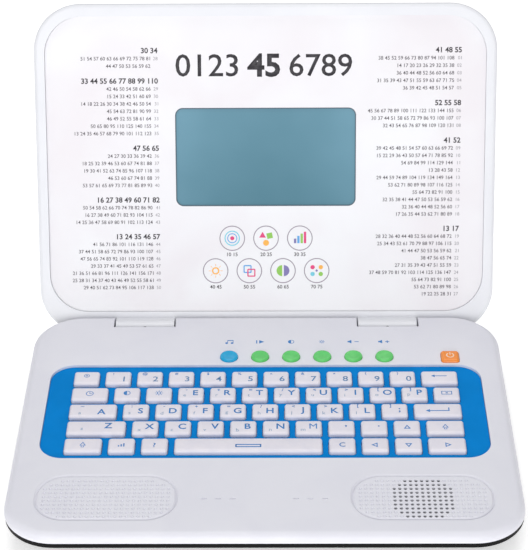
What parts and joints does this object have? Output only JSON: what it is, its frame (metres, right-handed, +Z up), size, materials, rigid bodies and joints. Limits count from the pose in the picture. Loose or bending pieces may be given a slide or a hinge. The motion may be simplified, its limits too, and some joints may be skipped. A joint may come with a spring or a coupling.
{
  "type": "toy laptop computer",
  "caption": "Toy laptop computer with a hinged lid around a small display, a blue keyboard well with pressing keys, round and square buttons, and a speaker grille.",
  "frame": {"origin": "middle of the whole object's width and depth as it stands with the lid open, on the plane its feet rest on", "axes": "+X to the object's right as a user faces the keys, +Y from the keys towards the lid, +Z up"},
  "size_m": [0.29, 0.2972, 0.2058],
  "materials": {
    "case_light": "smooth, slightly glossy light grey-white plastic",
    "lid_white": "smooth glossy white plastic",
    "panel_white": "smooth printed white sheet",
    "case_black": "satin black plastic",
    "plate_blue": "smooth blue plastic",
    "key_white": "smooth white plastic",
    "button_green": "smooth green plastic",
    "button_blue": "smooth blue plastic",
    "button_orange": "smooth orange plastic",
    "silicone": "translucent milky rubber sheet",
    "circuit_board": "green lacquered circuit board",
    "speaker_dark": "dark paper cone",
    "steel": "plated steel",
    "cell_jacket": "plain printed jacket",
    "foot_rubber": "soft dark rubber",
    "display_clear": "clear polished window",
    "display_glass": "smooth blue-grey display glass"
  },
  "bodies": {
    "base": {"bottom_case": "case_black", "top_case": "case_light", "keyboard_plate": "plate_blue", "dome_sheet": "silicone", "key_board": "circuit_board", "button_sheet": "silicone", "button_board": "circuit_board", "main_board": "circuit_board", "speaker": "speaker_dark", "battery_door": "case_black", "battery_door_screw": "steel", "battery_cells": "cell_jacket", "battery_contacts": "steel", "feet": "foot_rubber", "case_screws": "steel", "hinge_pins": "steel"},
    "lid": {"lid_frame": "lid_white", "lid_back": "lid_white", "lid_panel": "panel_white", "display_window": "display_clear", "display_module": "display_glass", "display_board": "circuit_board", "lid_screws": "steel"},
    "key_exit": {"key_exit": "key_white"},
    "key_1": {"key_1": "key_white"},
    "key_2": {"key_2": "key_white"},
    "key_3": {"key_3": "key_white"},
    "key_4": {"key_4": "key_white"},
    "key_5": {"key_5": "key_white"},
    "key_6": {"key_6": "key_white"},
    "key_7": {"key_7": "key_white"},
    "key_8": {"key_8": "key_white"},
    "key_9": {"key_9": "key_white"},
    "key_0": {"key_0": "key_white"},
    "key_back": {"key_back": "key_white"},
    "key_clock": {"key_clock": "key_white"},
    "key_delete": {"key_delete": "key_white"},
    "key_enter": {"key_enter": "key_white"},
    "key_up": {"key_up": "key_white"},
    "key_shift_right": {"key_shift_right": "key_white"},
    "key_shift_left": {"key_shift_left": "key_white"},
    "key_level": {"key_level": "key_white"},
    "key_help": {"key_help": "key_white"},
    "key_space": {"key_space": "key_white"},
    "key_clear": {"key_clear": "key_white"},
    "key_left": {"key_left": "key_white"},
    "key_down": {"key_down": "key_white"},
    "key_right": {"key_right": "key_white"},
    "letter_keys_upper": {"letter_keys_upper": "key_white"},
    "letter_keys_middle": {"letter_keys_middle": "key_white"},
    "letter_keys_lower": {"letter_keys_lower": "key_white"},
    "power_button": {"power_button": "button_orange"},
    "button_music": {"button_music": "button_blue"},
    "button_demo": {"button_demo": "button_green"},
    "button_sound": {"button_sound": "button_green"},
    "button_light": {"button_light": "button_green"},
    "button_volume_down": {"button_volume_down": "button_green"},
    "button_volume_up": {"button_volume_up": "button_green"}
  },
  "joints": [
    {"name": "lid_hinge", "type": "hinge", "parent": "base", "child": "lid", "pos_m": [0, 0.05613, 0.02], "axis": [1, 0, 0], "range_deg": [-6, 112]},
    {"name": "key_exit_press", "type": "slide", "parent": "base", "child": "key_exit", "axis": [0, 0, -1], "range_m": [0, 0.0015], "stiffness_N_per_m": 400, "springref_m": -0.0003},
    {"name": "key_1_press", "type": "slide", "parent": "base", "child": "key_1", "axis": [0, 0, -1], "range_m": [0, 0.0015], "stiffness_N_per_m": 400, "springref_m": -0.0003},
    {"name": "key_2_press", "type": "slide", "parent": "base", "child": "key_2", "axis": [0, 0, -1], "range_m": [0, 0.0015], "stiffness_N_per_m": 400, "springref_m": -0.0003},
    {"name": "key_3_press", "type": "slide", "parent": "base", "child": "key_3", "axis": [0, 0, -1], "range_m": [0, 0.0015], "stiffness_N_per_m": 400, "springref_m": -0.0003},
    {"name": "key_4_press", "type": "slide", "parent": "base", "child": "key_4", "axis": [0, 0, -1], "range_m": [0, 0.0015], "stiffness_N_per_m": 400, "springref_m": -0.0003},
    {"name": "key_5_press", "type": "slide", "parent": "base", "child": "key_5", "axis": [0, 0, -1], "range_m": [0, 0.0015], "stiffness_N_per_m": 400, "springref_m": -0.0003},
    {"name": "key_6_press", "type": "slide", "parent": "base", "child": "key_6", "axis": [0, 0, -1], "range_m": [0, 0.0015], "stiffness_N_per_m": 400, "springref_m": -0.0003},
    {"name": "key_7_press", "type": "slide", "parent": "base", "child": "key_7", "axis": [0, 0, -1], "range_m": [0, 0.0015], "stiffness_N_per_m": 400, "springref_m": -0.0003},
    {"name": "key_8_press", "type": "slide", "parent": "base", "child": "key_8", "axis": [0, 0, -1], "range_m": [0, 0.0015], "stiffness_N_per_m": 400, "springref_m": -0.0003},
    {"name": "key_9_press", "type": "slide", "parent": "base", "child": "key_9", "axis": [0, 0, -1], "range_m": [0, 0.0015], "stiffness_N_per_m": 400, "springref_m": -0.0003},
    {"name": "key_0_press", "type": "slide", "parent": "base", "child": "key_0", "axis": [0, 0, -1], "range_m": [0, 0.0015], "stiffness_N_per_m": 400, "springref_m": -0.0003},
    {"name": "key_back_press", "type": "slide", "parent": "base", "child": "key_back", "axis": [0, 0, -1], "range_m": [0, 0.0015], "stiffness_N_per_m": 400, "springref_m": -0.0003},
    {"name": "key_clock_press", "type": "slide", "parent": "base", "child": "key_clock", "axis": [0, 0, -1], "range_m": [0, 0.0015], "stiffness_N_per_m": 400, "springref_m": -0.0003},
    {"name": "key_delete_press", "type": "slide", "parent": "base", "child": "key_delete", "axis": [0, 0, -1], "range_m": [0, 0.0015], "stiffness_N_per_m": 400, "springref_m": -0.0003},
    {"name": "key_enter_press", "type": "slide", "parent": "base", "child": "key_enter", "axis": [0, 0, -1], "range_m": [0, 0.0015], "stiffness_N_per_m": 400, "springref_m": -0.0003},
    {"name": "key_up_press", "type": "slide", "parent": "base", "child": "key_up", "axis": [0, 0, -1], "range_m": [0, 0.0015], "stiffness_N_per_m": 400, "springref_m": -0.0003},
    {"name": "key_shift_right_press", "type": "slide", "parent": "base", "child": "key_shift_right", "axis": [0, 0, -1], "range_m": [0, 0.0015], "stiffness_N_per_m": 400, "springref_m": -0.0003},
    {"name": "key_shift_left_press", "type": "slide", "parent": "base", "child": "key_shift_left", "axis": [0, 0, -1], "range_m": [0, 0.0015], "stiffness_N_per_m": 400, "springref_m": -0.0003},
    {"name": "key_level_press", "type": "slide", "parent": "base", "child": "key_level", "axis": [0, 0, -1], "range_m": [0, 0.0015], "stiffness_N_per_m": 400, "springref_m": -0.0003},
    {"name": "key_help_press", "type": "slide", "parent": "base", "child": "key_help", "axis": [0, 0, -1], "range_m": [0, 0.0015], "stiffness_N_per_m": 400, "springref_m": -0.0003},
    {"name": "key_space_press", "type": "slide", "parent": "base", "child": "key_space", "axis": [0, 0, -1], "range_m": [0, 0.0015], "stiffness_N_per_m": 400, "springref_m": -0.0003},
    {"name": "key_clear_press", "type": "slide", "parent": "base", "child": "key_clear", "axis": [0, 0, -1], "range_m": [0, 0.0015], "stiffness_N_per_m": 400, "springref_m": -0.0003},
    {"name": "key_left_press", "type": "slide", "parent": "base", "child": "key_left", "axis": [0, 0, -1], "range_m": [0, 0.0015], "stiffness_N_per_m": 400, "springref_m": -0.0003},
    {"name": "key_down_press", "type": "slide", "parent": "base", "child": "key_down", "axis": [0, 0, -1], "range_m": [0, 0.0015], "stiffness_N_per_m": 400, "springref_m": -0.0003},
    {"name": "key_right_press", "type": "slide", "parent": "base", "child": "key_right", "axis": [0, 0, -1], "range_m": [0, 0.0015], "stiffness_N_per_m": 400, "springref_m": -0.0003},
    {"name": "letter_keys_upper_press", "type": "slide", "parent": "base", "child": "letter_keys_upper", "axis": [0, 0, -1], "range_m": [0, 0.0015], "stiffness_N_per_m": 400, "springref_m": -0.0003},
    {"name": "letter_keys_middle_press", "type": "slide", "parent": "base", "child": "letter_keys_middle", "axis": [0, 0, -1], "range_m": [0, 0.0015], "stiffness_N_per_m": 400, "springref_m": -0.0003},
    {"name": "letter_keys_lower_press", "type": "slide", "parent": "base", "child": "letter_keys_lower", "axis": [0, 0, -1], "range_m": [0, 0.0015], "stiffness_N_per_m": 400, "springref_m": -0.0003},
    {"name": "power_button_press", "type": "slide", "parent": "base", "child": "power_button", "axis": [0, 0, -1], "range_m": [0, 0.001], "stiffness_N_per_m": 400, "springref_m": -0.0003},
    {"name": "button_music_press", "type": "slide", "parent": "base", "child": "button_music", "axis": [0, 0, -1], "range_m": [0, 0.001], "stiffness_N_per_m": 400, "springref_m": -0.0003},
    {"name": "button_demo_press", "type": "slide", "parent": "base", "child": "button_demo", "axis": [0, 0, -1], "range_m": [0, 0.001], "stiffness_N_per_m": 400, "springref_m": -0.0003},
    {"name": "button_sound_press", "type": "slide", "parent": "base", "child": "button_sound", "axis": [0, 0, -1], "range_m": [0, 0.001], "stiffness_N_per_m": 400, "springref_m": -0.0003},
    {"name": "button_light_press", "type": "slide", "parent": "base", "child": "button_light", "axis": [0, 0, -1], "range_m": [0, 0.001], "stiffness_N_per_m": 400, "springref_m": -0.0003},
    {"name": "button_volume_down_press", "type": "slide", "parent": "base", "child": "button_volume_down", "axis": [0, 0, -1], "range_m": [0, 0.001], "stiffness_N_per_m": 400, "springref_m": -0.0003},
    {"name": "button_volume_up_press", "type": "slide", "parent": "base", "child": "button_volume_up", "axis": [0, 0, -1], "range_m": [0, 0.001], "stiffness_N_per_m": 400, "springref_m": -0.0003}
  ]
}
